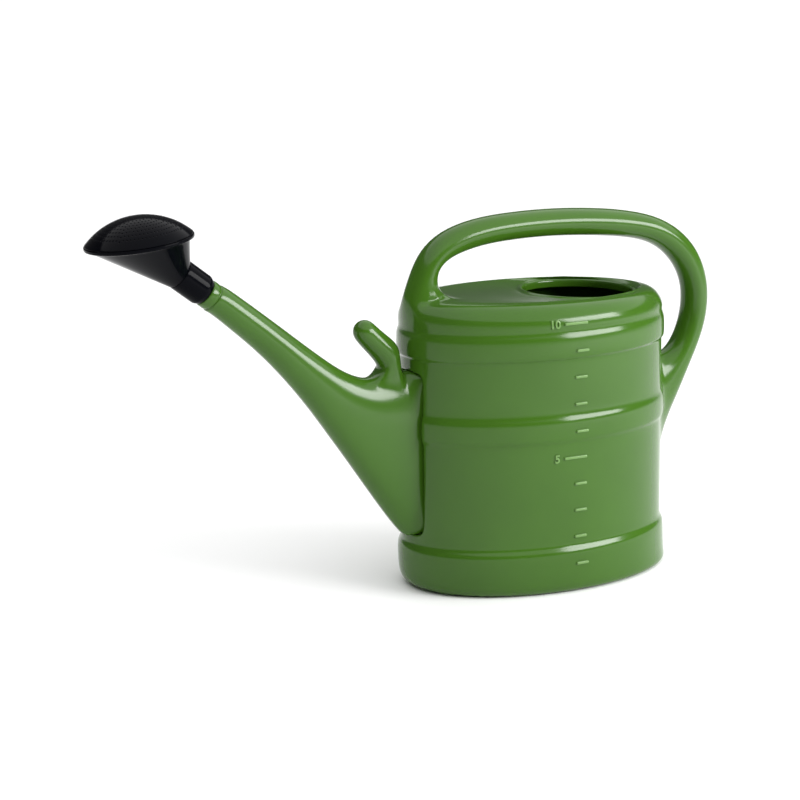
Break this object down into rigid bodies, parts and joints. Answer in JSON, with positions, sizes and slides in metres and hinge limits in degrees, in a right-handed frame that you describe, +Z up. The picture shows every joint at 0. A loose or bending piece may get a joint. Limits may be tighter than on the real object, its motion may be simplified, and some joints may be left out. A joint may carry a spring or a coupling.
{
  "type": "watering can",
  "caption": "Oval moulded garden watering can with a long top handle, a rising spout, a storage peg for the rose, and a push-on rose with a domed face.",
  "frame": {"origin": "middle of the foot pad, on the ground", "axes": "+X toward the back of the handle and -X toward the rose, +Z up; the XZ plane is the plane of symmetry"},
  "size_m": [0.6489, 0.1842, 0.3777],
  "materials": {
    "green_plastic": "satin gloss, blow moulded",
    "black_plastic": "gloss"
  },
  "bodies": {
    "can": {"tank_wall": "green_plastic", "tank_base": "green_plastic", "tank_deck": "green_plastic", "handle": "green_plastic", "spout_root": "green_plastic", "spout_tube": "green_plastic", "spout_tip": "green_plastic", "rose_peg": "green_plastic"},
    "rose_sleeve": {"rose_neck": "black_plastic"},
    "rose_body": {"rose_head": "black_plastic"},
    "rose_plate": {"rose_face": "black_plastic"}
  },
  "joints": [
    {"name": "rose_pull", "type": "slide", "parent": "can", "child": "rose_sleeve", "axis": [-0.788, 0, 0.6157], "range_m": [0, 0.05]},
    {"name": "rose_turn", "type": "hinge", "parent": "rose_sleeve", "child": "rose_body", "pos_m": [-0.3385, 0, 0.3045], "axis": [-0.788, 0, 0.6157], "continuous": true},
    {"name": "face_unclip", "type": "slide", "parent": "rose_body", "child": "rose_plate", "axis": [-0.1184, 0, 0.993], "range_m": [0, 0.02]}
  ]
}
